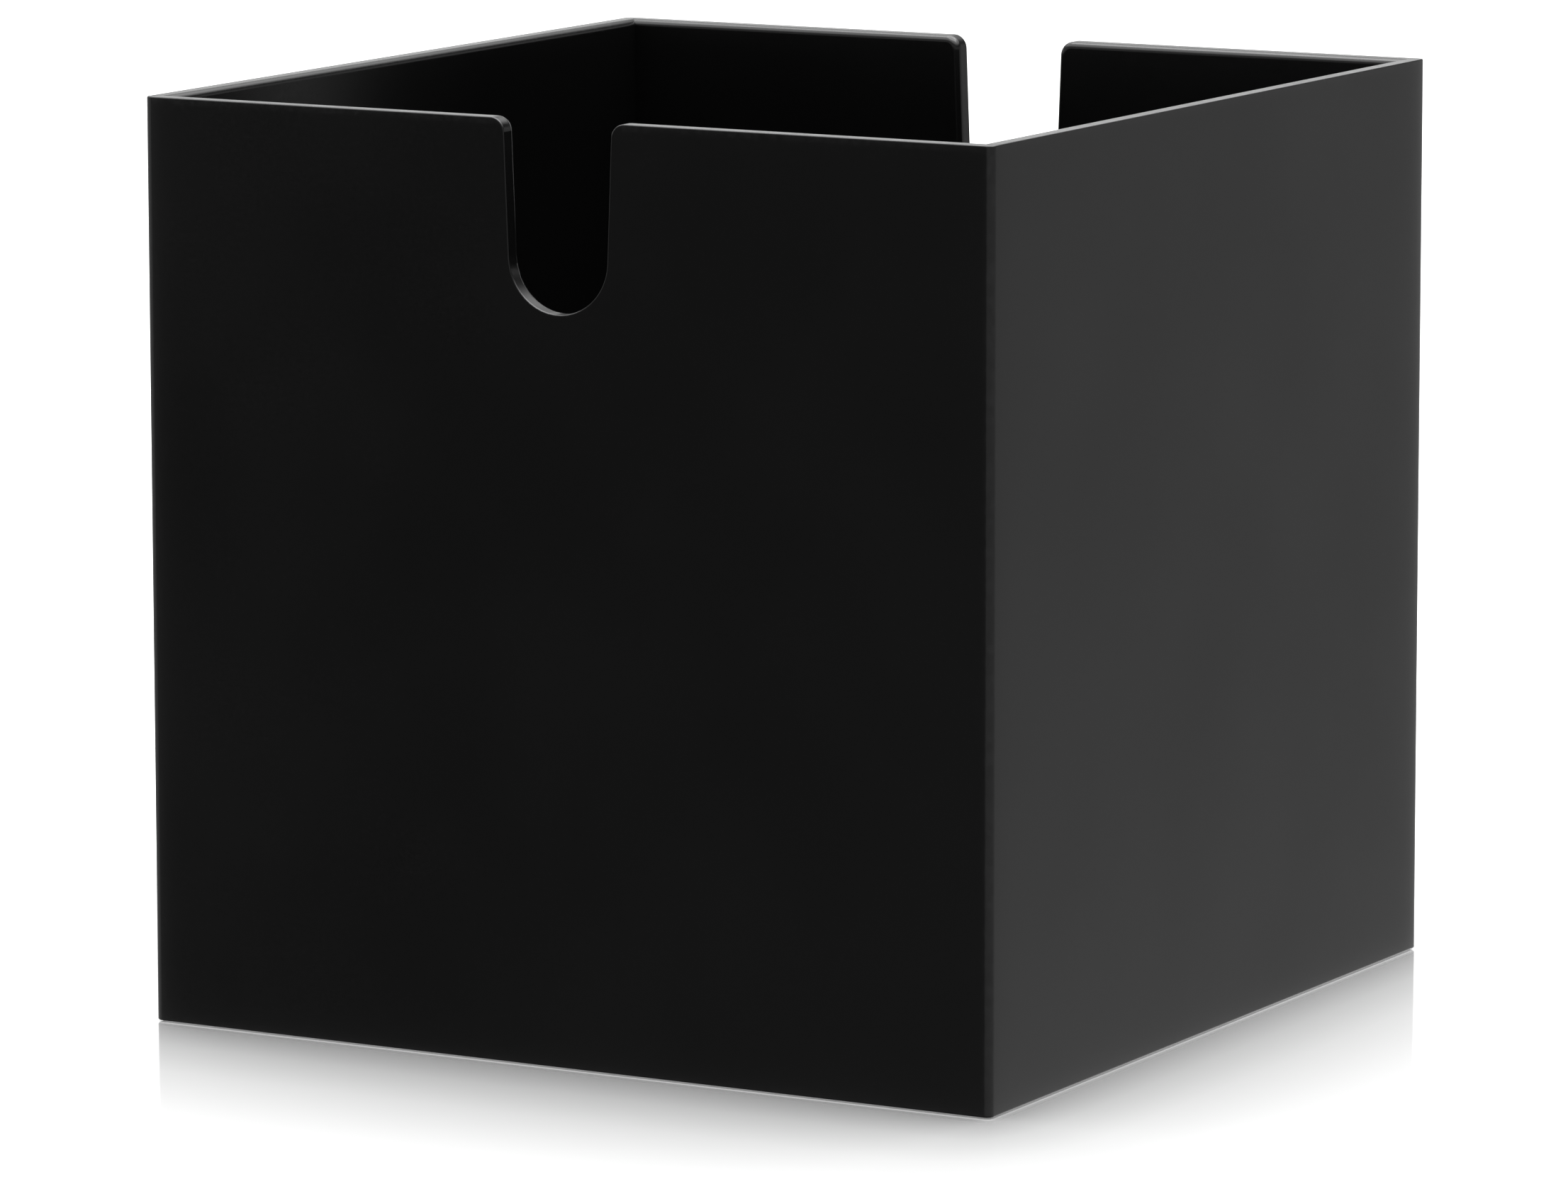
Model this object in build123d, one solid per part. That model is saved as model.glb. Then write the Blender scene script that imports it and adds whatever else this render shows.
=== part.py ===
"""Open-top box for a stack of square beverage napkins.

Four wall panels, mitred at the corners, stand around a let-in base on four rubber feet.
Millimetres, +Z up, +X to the right along the front, and the front faces -Y.
The origin is in the middle of the footprint, on the surface that the box stands on.
"""
import math
import os

from build123d import *

# ---- driving dimensions ----------------------------------------------------------------

WIDTH = 140.0               # outside, along X
DEPTH = 140.0               # outside, along Y; equal to WIDTH, so the mitres run at 45 degrees
HEIGHT = 137.5              # from the surface to the rim
WALL = 3.0                  # thickness of the wall panels

OUTER_EDGE_RADIUS = 0.2     # rounding of the rim and of the finger slots, on the outside
INNER_EDGE_RADIUS = 1.0     # the same on the inside, where napkins and fingers slide past
CORNER_RADIUS = 1.2         # rounding of the upright outside corners
LOWER_EDGE_RADIUS = 0.3     # rounding around the lower outside edge

SLOT_WIDTH = 17.8           # finger slot at the rim, before its shoulders are rounded
SLOT_DEPTH = 27.8           # from the rim to the lowest point of the slot
SLOT_LEAN = 2.2             # degrees that each side of the slot leans inwards
SHOULDER_RADIUS = 2.2       # where the sides of the slot meet the rim

BASE_THICKNESS = 3.0
BASE_RECESS = 2.0           # from the lower edge of the walls up to the base
TONGUE_THICKNESS = 1.5
TONGUE_LENGTH = 1.5         # how far the tongue of the base reaches into the walls

FOOT_DIAMETER = 12.0
FOOT_INSET = 13.0           # from the outside of the walls to the axis of a foot
FOOT_POCKET = 0.6           # how deep a foot is let into the base
FOOT_CHAMFER = 0.3
FOOT_PROUD = 0.2            # how far the feet stand below the walls

# ---- derived dimensions ----------------------------------------------------------------

INSIDE_WIDTH = WIDTH - 2 * WALL
INSIDE_DEPTH = DEPTH - 2 * WALL
WALL_Z = FOOT_PROUD
WALL_HEIGHT = HEIGHT - WALL_Z
BASE_Z = WALL_Z + BASE_RECESS
TONGUE_Z = BASE_Z + (BASE_THICKNESS - TONGUE_THICKNESS) / 2
SLOT_LOWEST_Z = HEIGHT - SLOT_DEPTH
FOOT_HEIGHT = BASE_Z + FOOT_POCKET
FOOT_X = WIDTH / 2 - FOOT_INSET
FOOT_Y = DEPTH / 2 - FOOT_INSET

TOLERANCE = 1e-4            # two positions closer than this are the same
ON_ITS_FOOT = (Align.CENTER, Align.CENTER, Align.MIN)


def block(width, depth, height, z):
    """A box centred on the upright axis, with its underside at z."""
    return Pos(0, 0, z) * Box(width, depth, height, align=ON_ITS_FOOT)


# ---- wall panels -----------------------------------------------------------------------

def slot_cutter():
    """Both finger slots as one bar: leaning sides that run into a full round bottom."""
    lean = math.radians(SLOT_LEAN)
    rim_x = SLOT_WIDTH / 2
    # The round touches both sides and has its lowest point at SLOT_DEPTH.
    radius = (rim_x - SLOT_DEPTH * math.tan(lean)) * math.cos(lean) / (1 - math.sin(lean))
    side_x = radius * math.cos(lean)
    side_z = SLOT_LOWEST_Z + radius - radius * math.sin(lean)
    outline = [
        Line((-rim_x, HEIGHT), (-side_x, side_z)),
        ThreePointArc((-side_x, side_z), (0, SLOT_LOWEST_Z), (side_x, side_z)),
        Line((side_x, side_z), (rim_x, HEIGHT)),
        Line((rim_x, HEIGHT), (-rim_x, HEIGHT)),
    ]
    return extrude(Plane.XZ * make_face(outline), amount=DEPTH, both=True)


def runs_through_a_slot(edge):
    """True for an edge along Y between the sides of the finger slots."""
    along_y = edge.geom_type == GeomType.LINE and abs(edge.tangent_at(0.5).Y) > 1 - TOLERANCE
    return along_y and abs(edge.center().X) < SLOT_WIDTH


def is_shoulder(edge):
    """True where a side of a finger slot meets the rim."""
    return runs_through_a_slot(edge) and edge.center().Z > HEIGHT - TOLERANCE


def is_rim_or_slot_outline(edge):
    """True along the rim and around the finger slots, on both faces of the walls."""
    is_high = edge.bounding_box().min.Z > SLOT_LOWEST_Z - TOLERANCE
    return is_high and not runs_through_a_slot(edge)


def is_inside(edge):
    """True for an edge on the inner faces of the walls."""
    reach = edge.bounding_box()
    is_in_x = max(-reach.min.X, reach.max.X) < INSIDE_WIDTH / 2 + TOLERANCE
    return is_in_x and max(-reach.min.Y, reach.max.Y) < INSIDE_DEPTH / 2 + TOLERANCE


def is_outside(edge):
    """True for an edge that reaches the outer faces of the walls."""
    reach = edge.bounding_box()
    is_out_x = max(-reach.min.X, reach.max.X) > WIDTH / 2 - CORNER_RADIUS
    return is_out_x or max(-reach.min.Y, reach.max.Y) > DEPTH / 2 - CORNER_RADIUS


def wall_ring():
    """The four walls as one ring, with the slots, the groove for the base and the roundings."""
    ring = block(WIDTH, DEPTH, WALL_HEIGHT, WALL_Z)
    ring = fillet(ring.edges().filter_by(Axis.Z), CORNER_RADIUS)
    ring = fillet(ring.edges().group_by(Axis.Z)[0], LOWER_EDGE_RADIUS)
    ring -= block(INSIDE_WIDTH, INSIDE_DEPTH, HEIGHT, 0)
    ring -= slot_cutter()
    ring = fillet(ring.edges().filter_by(is_shoulder), SHOULDER_RADIUS)
    inner_outline = ring.edges().filter_by(is_rim_or_slot_outline).filter_by(is_inside)
    ring = fillet(inner_outline, INNER_EDGE_RADIUS)
    outer_outline = ring.edges().filter_by(is_rim_or_slot_outline).filter_by(is_outside)
    ring = fillet(outer_outline, OUTER_EDGE_RADIUS)
    return ring - base_tongue()


def wall_panel(ring, turn):
    """One panel of the ring, cut off by the two mitres; turn is its angle from the front."""
    reach = WIDTH
    corners = [(0, 0), (-reach, -reach), (reach, -reach)]
    wedge = extrude(make_face(Polyline(*corners, close=True)), amount=HEIGHT)
    return ring & (Rot(0, 0, turn) * wedge)


# ---- base and feet ---------------------------------------------------------------------

def base_tongue():
    """The tongue around the base, and so the groove that it needs in the walls."""
    width = INSIDE_WIDTH + 2 * TONGUE_LENGTH
    depth = INSIDE_DEPTH + 2 * TONGUE_LENGTH
    return block(width, depth, TONGUE_THICKNESS, TONGUE_Z)


def foot(x, y):
    """A round rubber foot with its underside on the surface."""
    disc = Pos(x, y, 0) * Cylinder(FOOT_DIAMETER / 2, FOOT_HEIGHT, align=ON_ITS_FOOT)
    return chamfer(disc.edges().group_by(Axis.Z)[0], FOOT_CHAMFER)


def base_panel(feet):
    """The base with its tongue, and a pocket for each foot."""
    panel = block(INSIDE_WIDTH, INSIDE_DEPTH, BASE_THICKNESS, BASE_Z) + base_tongue()
    for one_foot in feet:
        panel -= one_foot
    return panel


# ---- assembly --------------------------------------------------------------------------

def napkin_box():
    """Every sub-part, by the name of its node."""
    ring = wall_ring()
    parts = {
        "front_panel": wall_panel(ring, 0),
        "right_panel": wall_panel(ring, 90),
        "back_panel": wall_panel(ring, 180),
        "left_panel": wall_panel(ring, 270),
    }
    feet = {
        "foot_front_left": foot(-FOOT_X, -FOOT_Y),
        "foot_front_right": foot(FOOT_X, -FOOT_Y),
        "foot_back_left": foot(-FOOT_X, FOOT_Y),
        "foot_back_right": foot(FOOT_X, FOOT_Y),
    }
    parts["base_panel"] = base_panel(feet.values())
    return parts | feet


os.makedirs("parts", exist_ok=True)
for node, shape in napkin_box().items():
    export_step(shape, f"parts/{node}.step")
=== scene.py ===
"""Visual model of the napkin dispenser.

An open-top satin black box with two finger slots, on a pale studio floor.
Metres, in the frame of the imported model.
"""

import math

import bmesh
import bpy
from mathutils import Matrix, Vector


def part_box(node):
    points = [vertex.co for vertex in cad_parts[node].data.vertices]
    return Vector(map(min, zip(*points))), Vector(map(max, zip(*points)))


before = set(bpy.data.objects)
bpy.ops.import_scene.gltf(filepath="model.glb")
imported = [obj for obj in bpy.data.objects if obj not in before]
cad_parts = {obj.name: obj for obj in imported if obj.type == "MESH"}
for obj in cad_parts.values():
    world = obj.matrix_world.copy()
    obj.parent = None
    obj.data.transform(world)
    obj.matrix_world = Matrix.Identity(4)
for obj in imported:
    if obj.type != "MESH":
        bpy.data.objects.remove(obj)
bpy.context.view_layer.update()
scene = bpy.context.scene
scene.view_settings.view_transform = "Standard"

HALF_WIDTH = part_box("front_panel")[1][0]
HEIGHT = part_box("front_panel")[1][2]


# ---- shader nodes ----------------------------------------------------------------------

def node(tree, kind, **settings):
    """A new shader node with some of its settings."""
    made = tree.nodes.new(kind)
    for name, value in settings.items():
        setattr(made, name, value)
    return made


def feed(tree, socket, value):
    """Links another node's output to a socket, or puts a constant on it."""
    if isinstance(value, bpy.types.NodeSocket):
        tree.links.new(value, socket)
    else:
        socket.default_value = value


def grey(level):
    """An opaque grey for a colour socket."""
    return (level, level, level, 1)


def math_node(tree, operation, a, b):
    """One sum on two numbers."""
    made = node(tree, "ShaderNodeMath", operation=operation)
    feed(tree, made.inputs[0], a)
    feed(tree, made.inputs[1], b)
    return made.outputs[0]


def vector_math(tree, operation, *values):
    """One sum on one or two vectors."""
    made = node(tree, "ShaderNodeVectorMath", operation=operation)
    for socket, value in zip(made.inputs, values):
        feed(tree, socket, value)
    return made.outputs["Value"] if operation == "LENGTH" else made.outputs[0]


def split_vector(tree, vector):
    """The X, Y and Z of a vector."""
    split = node(tree, "ShaderNodeSeparateXYZ")
    feed(tree, split.inputs[0], vector)
    return split.outputs["X"], split.outputs["Y"], split.outputs["Z"]


def mapped(tree, value, low, high, out_low, out_high):
    """Goes smoothly from out_low to out_high while the value goes from low to high."""
    made = node(tree, "ShaderNodeMapRange", interpolation_type="SMOOTHSTEP")
    feed(tree, made.inputs["Value"], value)
    feed(tree, made.inputs["From Min"], low)
    feed(tree, made.inputs["From Max"], high)
    feed(tree, made.inputs["To Min"], out_low)
    feed(tree, made.inputs["To Max"], out_high)
    return made.outputs[0]


def ramp(tree, value, stops, interpolation="EASE"):
    """A grey level looked up in a list of (position, level) with positions from 0 to 1."""
    made = node(tree, "ShaderNodeValToRGB")
    made.color_ramp.interpolation = interpolation
    elements = made.color_ramp.elements
    while len(elements) < len(stops):
        elements.new(0.5)
    for element, (position, level) in zip(elements, stops):
        element.position = position
        element.color = grey(level)
    feed(tree, made.inputs[0], value)
    return made.outputs[0]


def colour_mix(tree, share, colour, other):
    """Goes from one colour to the other as the share goes from 0 to 1."""
    mix = node(tree, "ShaderNodeMix", data_type="RGBA")
    feed(tree, mix.inputs["Factor"], share)
    feed(tree, mix.inputs["A"], colour)
    feed(tree, mix.inputs["B"], other)
    return mix.outputs["Result"]


def object_place(tree):
    """Where a shaded point lies in its object, in metres."""
    return node(tree, "ShaderNodeTexCoord").outputs["Object"]


def noise(tree, place, scale, detail):
    """Soft random levels around 0.5."""
    made = node(tree, "ShaderNodeTexNoise")
    feed(tree, made.inputs["Vector"], place)
    feed(tree, made.inputs["Scale"], scale)
    feed(tree, made.inputs["Detail"], detail)
    return made.outputs["Fac"]


def bump(tree, height, shader):
    """Shades a surface as if it stood out by a height in metres."""
    made = node(tree, "ShaderNodeBump")
    feed(tree, made.inputs["Strength"], 1.0)
    feed(tree, made.inputs["Distance"], 1.0)
    feed(tree, made.inputs["Height"], height)
    feed(tree, shader.inputs["Normal"], made.outputs[0])


def new_material(name):
    """An empty material, its node tree, and the socket that takes its surface."""
    material = bpy.data.materials.new(name)
    material.use_nodes = True
    tree = material.node_tree
    tree.nodes.clear()
    return material, tree, node(tree, "ShaderNodeOutputMaterial").inputs["Surface"]


# ---- satin black plastic ---------------------------------------------------------------

PLASTIC_BLACK = grey(0.0018)
PLASTIC_IOR = 1.45
PLASTIC_ROUGHNESS = (0.19, 0.22)        # lowest and highest in the cloudy differences
SPECKLE_ROUGHNESS = (-0.012, 0.018)     # lowest and highest that a speckle adds

RUBBED_EDGE = (0.0045, 0.0045, 0.0046, 1)
RUBBED_ROUGHNESS = 0.03         # what full wear adds
RUBBED_FROM = 0.0001            # metres from an edge where the wear starts to fade
RUBBED_TO = 0.0014              # metres from an edge where it is gone

PILLOW_START = 0.0007       # metres from an edge within which the fall levels out
PILLOW_SIDE = 9.0e-5        # metres that a face falls for each factor of e nearer to an upright edge
PILLOW_LOWER = 7.0e-5       # the same for the lower edge
PILLOW_RIM = 2.0e-5         # the same for the rim

# Each noise is a scale in cycles per metre and a number of finer octaves. Where it has a spread,
# that is the part of its levels that is stretched over the whole range of what it steers.
GRAIN_NOISE = (2200.0, 3.0)
GRAIN_HEIGHT = 1.2e-6
WAVE_NOISE = (35.0, 1.0)
WAVE_HEIGHT = 1.0e-5
CLOUD_NOISE = (28.0, 4.0)
CLOUD_SPREAD = (0.3, 0.7)
SPECKLE_NOISE = (1400.0, 2.0)
SPECKLE_SPREAD = (0.35, 0.75)
WEAR_NOISE = (700.0, 5.0)
WEAR_SPREAD = (0.35, 0.75)
LEAST_WEAR = 0.25           # share of the wear that is left between its patches


def edge_distances(tree, place):
    """How far a point of the walls is from the nearest upright edge, the lower edge and the rim."""
    x, y, z = split_vector(tree, vector_math(tree, "ABSOLUTE", place))
    side = math_node(tree, "SUBTRACT", HALF_WIDTH, math_node(tree, "MINIMUM", x, y))
    return side, z, math_node(tree, "SUBTRACT", HEIGHT, z)


def pillow(tree, gap, fall):
    """Height of a face that falls with the logarithm of its distance from an edge."""
    squared = math_node(tree, "MULTIPLY", gap, gap)
    softened = math_node(tree, "ADD", squared, PILLOW_START ** 2)
    return math_node(tree, "MULTIPLY", math_node(tree, "LOGARITHM", softened, math.e), fall / 2)


def plastic_height(tree, place, side, lower, rim):
    """Faces that fall away a little towards their edges, with a fine grain and slight waves."""
    height = pillow(tree, side, PILLOW_SIDE)
    height = math_node(tree, "ADD", height, pillow(tree, lower, PILLOW_LOWER))
    height = math_node(tree, "ADD", height, pillow(tree, rim, PILLOW_RIM))
    grain = math_node(tree, "MULTIPLY", noise(tree, place, *GRAIN_NOISE), GRAIN_HEIGHT)
    waves = math_node(tree, "MULTIPLY", noise(tree, place, *WAVE_NOISE), WAVE_HEIGHT)
    return math_node(tree, "ADD", math_node(tree, "ADD", height, grain), waves)


def plastic_wear(tree, place, side, lower, rim):
    """Patchy wear along the edges, from 0 to 1."""
    nearest = math_node(tree, "MINIMUM", side, math_node(tree, "MINIMUM", lower, rim))
    at_edge = mapped(tree, nearest, RUBBED_FROM, RUBBED_TO, 1.0, 0.0)
    patchy = mapped(tree, noise(tree, place, *WEAR_NOISE), *WEAR_SPREAD, LEAST_WEAR, 1.0)
    return math_node(tree, "MULTIPLY", at_edge, patchy)


def plastic_roughness(tree, place, wear):
    """Cloudy and speckled differences in gloss, and duller edges where they are rubbed."""
    cloud = mapped(tree, noise(tree, place, *CLOUD_NOISE), *CLOUD_SPREAD, *PLASTIC_ROUGHNESS)
    speckles = noise(tree, place, *SPECKLE_NOISE)
    speckle = mapped(tree, speckles, *SPECKLE_SPREAD, *SPECKLE_ROUGHNESS)
    rubbed = math_node(tree, "MULTIPLY", wear, RUBBED_ROUGHNESS)
    return math_node(tree, "ADD", math_node(tree, "ADD", cloud, speckle), rubbed)


def satin_black():
    """Moulded satin plastic of the walls and the base."""
    material, tree, surface = new_material("satin_black_plastic_look")
    shader = node(tree, "ShaderNodeBsdfPrincipled")
    feed(tree, shader.inputs["IOR"], PLASTIC_IOR)
    place = object_place(tree)
    edges = edge_distances(tree, place)
    bump(tree, plastic_height(tree, place, *edges), shader)
    wear = plastic_wear(tree, place, *edges)
    feed(tree, shader.inputs["Base Color"], colour_mix(tree, wear, PLASTIC_BLACK, RUBBED_EDGE))
    feed(tree, shader.inputs["Roughness"], plastic_roughness(tree, place, wear))
    feed(tree, surface, shader.outputs[0])
    return material


# ---- black rubber ----------------------------------------------------------------------

RUBBER_BLACK = grey(0.012)
RUBBER_DUST = (0.05, 0.048, 0.045, 1)
RUBBER_ROUGHNESS = (0.62, 0.85)     # clean and at its dustiest
MOST_DUST = 0.35                    # share of the colour that dust takes at most
DUST_NOISE = (260.0, 4.0)
DUST_SPREAD = (0.5, 0.75)
PEBBLE_NOISE = (1800.0, 2.0)
PEBBLE_HEIGHT = 2.0e-5


def rubber():
    """Matt rubber of the feet, with a fine pebbled skin and a little dust."""
    material, tree, surface = new_material("black_rubber_look")
    shader = node(tree, "ShaderNodeBsdfPrincipled")
    place = object_place(tree)
    dust = mapped(tree, noise(tree, place, *DUST_NOISE), *DUST_SPREAD, 0.0, MOST_DUST)
    feed(tree, shader.inputs["Base Color"], colour_mix(tree, dust, RUBBER_BLACK, RUBBER_DUST))
    roughness = mapped(tree, dust, 0.0, MOST_DUST, *RUBBER_ROUGHNESS)
    feed(tree, shader.inputs["Roughness"], roughness)
    pebbles = math_node(tree, "MULTIPLY", noise(tree, place, *PEBBLE_NOISE), PEBBLE_HEIGHT)
    bump(tree, pebbles, shader)
    feed(tree, surface, shader.outputs[0])
    return material


plastic_look = satin_black()
rubber_look = rubber()
for name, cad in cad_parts.items():
    for slot in cad.material_slots:
        slot.material = rubber_look if name.startswith("foot") else plastic_look


# ---- floor -----------------------------------------------------------------------------

FLOOR_HALF_SIZE = 8.0
FLOOR_WHITE = grey(0.9)
POLISH_ROUGHNESS = 0.05
POLISH_STRETCH = (1.5, 1.0, 0.0)    # the polish fades faster to the left and right of the box
POLISH_REACH = 0.12                 # metres from the box where the polish ends
# Share of the polish by the distance from the box in metres.
POLISH_SHARE = [(0.0, 0.75), (0.003, 0.725), (0.014, 0.62), (0.029, 0.54), (0.048, 0.495),
                (0.071, 0.45), (0.09, 0.25), (POLISH_REACH, 0.0)]


def distance_from_box(tree):
    """Metres from the footprint of the box, counted longer sideways than forwards."""
    away = vector_math(tree, "ABSOLUTE", object_place(tree))
    beyond = vector_math(tree, "SUBTRACT", away, (HALF_WIDTH, HALF_WIDTH, 0.0))
    outside = vector_math(tree, "MAXIMUM", beyond, (0.0, 0.0, 0.0))
    return vector_math(tree, "LENGTH", vector_math(tree, "MULTIPLY", outside, POLISH_STRETCH))


def floor_material():
    """Seamless white sheet with a polish that shows the box near it and fades out further away."""
    material, tree, surface = new_material("studio_floor_white")
    white = node(tree, "ShaderNodeBsdfDiffuse")
    feed(tree, white.inputs["Color"], FLOOR_WHITE)
    mirror = node(tree, "ShaderNodeBsdfGlossy")
    feed(tree, mirror.inputs["Color"], grey(1.0))
    feed(tree, mirror.inputs["Roughness"], POLISH_ROUGHNESS)
    reach = math_node(tree, "DIVIDE", distance_from_box(tree), POLISH_REACH)
    stops = [(distance / POLISH_REACH, share) for distance, share in POLISH_SHARE]
    mix = node(tree, "ShaderNodeMixShader")
    feed(tree, mix.inputs[0], ramp(tree, reach, stops, "LINEAR"))
    feed(tree, mix.inputs[1], white.outputs[0])
    feed(tree, mix.inputs[2], mirror.outputs[0])
    feed(tree, surface, mix.outputs[0])
    return material


def studio_floor():
    """A flat sheet under the box, which reflections don't see."""
    half = FLOOR_HALF_SIZE
    corners = [(-half, -half, 0), (half, -half, 0), (half, half, 0), (-half, half, 0)]
    mesh = bpy.data.meshes.new("studio_floor")
    mesh.from_pydata(corners, [], [(0, 1, 2, 3)])
    floor = bpy.data.objects.new("studio_floor", mesh)
    scene.collection.objects.link(floor)
    floor.data.materials.append(floor_material())
    floor.visible_glossy = False


# ---- dome that only reflections see ----------------------------------------------------

DOME_RADIUS = 5.0
DOME_SUBDIVISIONS = 4

# Radiance of each band of the dome, where the white backdrop is 1.
# Azimuth runs in degrees from +X towards +Y.
TABLE_BY_AZIMUTH = [(-180, 0.5), (-148, 0.55), (-137, 0.42), (-132, 0.26), (-127, 0.03), (-123, 0.01),
                    (-117, 0.065), (-92, 0.08), (-76, 0.38), (0, 0.42), (42, 0.48), (57, 0.37),
                    (65, 0.29), (69, 0.36), (75, 0.72), (82, 1.0), (120, 1.0), (180, 0.5)]
HORIZON_BY_AZIMUTH = [(-180, 0.8), (-120, 0.5), (-60, 0.5), (0, 0.45), (70, 0.35), (100, 0.9),
                      (119, 1.0), (180, 0.8)]
GAP_BY_AZIMUTH = [(-180, 0.4), (-90, 0.3), (0, 0.15), (60, 0.08), (92, 0.12), (116, 0.5), (180, 0.4)]
SOFTBOX_LEVEL = 2.9
ZENITH_LEVEL = 1.1

# Degrees of elevation over which each band takes over from the one below.
HORIZON_STARTS = (0, 6)
GAP_STARTS = (12, 21)
SOFTBOX_STARTS = (25, 43)
ZENITH_STARTS = (64, 80)

# The table under the horizon: the share of its level that is left, by degrees below the horizon,
# and the radiance that it gains there, times a factor for the azimuth.
SINK_BY_DEPRESSION = [(0, 1.0), (17, 1.0), (42, 0.32), (90, 0.22)]
GLOW_BY_DEPRESSION = [(0, 0.0), (8, 0.0), (12, 0.03), (15, 0.1), (20, 0.22), (30, 0.15), (50, 0.0),
                      (90, 0.0)]
GLOW_BY_AZIMUTH = [(-180, 1.0), (-60, 1.0), (60, 2.6), (180, 1.0)]


def rise(degrees):
    """Z of a direction of length 1 that rises by an angle."""
    return math.sin(math.radians(degrees))


def around(tree, turn, levels):
    """A level for each azimuth, as a share of the softbox's."""
    stops = [((azimuth + 180) / 360, level / SOFTBOX_LEVEL) for azimuth, level in levels]
    return ramp(tree, turn, stops)


def climb(tree, up, elevations, below, above):
    """Goes over from one band of the dome to the next between two elevations."""
    low, high = elevations
    return colour_mix(tree, mapped(tree, up, rise(low), rise(high), 0.0, 1.0), below, above)


def table_level(tree, up, turn):
    """The table, which sinks and glows by the angle below the horizon."""
    down = math_node(tree, "MAXIMUM", math_node(tree, "MULTIPLY", up, -1.0), 0.0)
    glows = [(rise(depression), level / SOFTBOX_LEVEL) for depression, level in GLOW_BY_DEPRESSION]
    glow = vector_math(tree, "MULTIPLY", ramp(tree, down, glows, "LINEAR"),
                       around(tree, turn, GLOW_BY_AZIMUTH))
    # The factor by azimuth came as a share of the softbox's level, and this undoes it.
    glow = vector_math(tree, "MULTIPLY", glow, (SOFTBOX_LEVEL, SOFTBOX_LEVEL, SOFTBOX_LEVEL))
    sinks = [(rise(depression), share) for depression, share in SINK_BY_DEPRESSION]
    table = vector_math(tree, "MULTIPLY", around(tree, turn, TABLE_BY_AZIMUTH),
                        ramp(tree, down, sinks, "LINEAR"))
    return vector_math(tree, "ADD", table, glow)


def dome_look():
    """The table, the backdrop, a dark gap above it, the softbox, and a dimmer zenith."""
    material, tree, surface = new_material("studio_dome_look")
    x, y, up = split_vector(tree, vector_math(tree, "NORMALIZE", object_place(tree)))
    azimuth = math_node(tree, "ARCTAN2", y, x)
    turn = math_node(tree, "ADD", math_node(tree, "DIVIDE", azimuth, 2 * math.pi), 0.5)
    level = table_level(tree, up, turn)
    level = climb(tree, up, HORIZON_STARTS, level, around(tree, turn, HORIZON_BY_AZIMUTH))
    level = climb(tree, up, GAP_STARTS, level, around(tree, turn, GAP_BY_AZIMUTH))
    level = climb(tree, up, SOFTBOX_STARTS, level, grey(1.0))
    level = climb(tree, up, ZENITH_STARTS, level, grey(ZENITH_LEVEL / SOFTBOX_LEVEL))
    glow = node(tree, "ShaderNodeEmission")
    feed(tree, glow.inputs["Color"], level)
    feed(tree, glow.inputs["Strength"], SOFTBOX_LEVEL)
    feed(tree, surface, glow.outputs[0])
    material.cycles.emission_sampling = "NONE"
    return material


def studio_dome():
    """A closed shell around everything that only reflections see."""
    shell = bmesh.new()
    bmesh.ops.create_icosphere(shell, subdivisions=DOME_SUBDIVISIONS, radius=DOME_RADIUS)
    mesh = bpy.data.meshes.new("studio_dome")
    shell.to_mesh(mesh)
    shell.free()
    dome = bpy.data.objects.new("studio_dome", mesh)
    scene.collection.objects.link(dome)
    mesh.materials.append(dome_look())
    dome.visible_camera = False
    dome.visible_diffuse = False
    dome.visible_shadow = False
    dome.visible_transmission = False


# ---- lights ----------------------------------------------------------------------------

LAMP_PLACE = (0.15, 0.1, 2.2)
LAMP_SIDE = 2.4
LAMP_POWER = 110.0      # watts
WORLD_LEVEL = 1.0


def overhead_softbox():
    """A large square light above the box that shines at its foot."""
    light = bpy.data.lights.new("softbox_top", "AREA")
    light.shape = "RECTANGLE"
    light.size = LAMP_SIDE
    light.size_y = LAMP_SIDE
    light.energy = LAMP_POWER
    lamp = bpy.data.objects.new("softbox_top", light)
    lamp.location = LAMP_PLACE
    lamp.rotation_euler = Vector(LAMP_PLACE).to_track_quat("Z", "Y").to_euler()
    scene.collection.objects.link(lamp)


def white_world():
    """Even white light from all around, which is also the backdrop."""
    world = bpy.data.worlds.new("studio")
    world.use_nodes = True
    background = world.node_tree.nodes["Background"]
    background.inputs["Color"].default_value = grey(1.0)
    background.inputs["Strength"].default_value = WORLD_LEVEL
    scene.world = world


# ---- camera ----------------------------------------------------------------------------

CAMERA_PLACE = (0.643441, -1.150869, 0.270685)
CAMERA_TURN = (80.943551, 0.06434, 29.290267)   # degrees about X, Y and Z
CAMERA_LENS = 204.334                           # millimetres, on a sensor SENSOR_WIDTH across
SENSOR_WIDTH = 36.0
NEAREST_SEEN = 0.01


def main_camera():
    """A long lens, looking at the front and right walls from a little above the rim."""
    lens = bpy.data.cameras.new("camera")
    lens.sensor_width = SENSOR_WIDTH
    lens.lens = CAMERA_LENS
    lens.clip_start = NEAREST_SEEN
    camera = bpy.data.objects.new("camera", lens)
    camera.location = CAMERA_PLACE
    camera.rotation_euler = tuple(math.radians(angle) for angle in CAMERA_TURN)
    scene.collection.objects.link(camera)
    scene.camera = camera


studio_floor()
studio_dome()
white_world()
overhead_softbox()
main_camera()
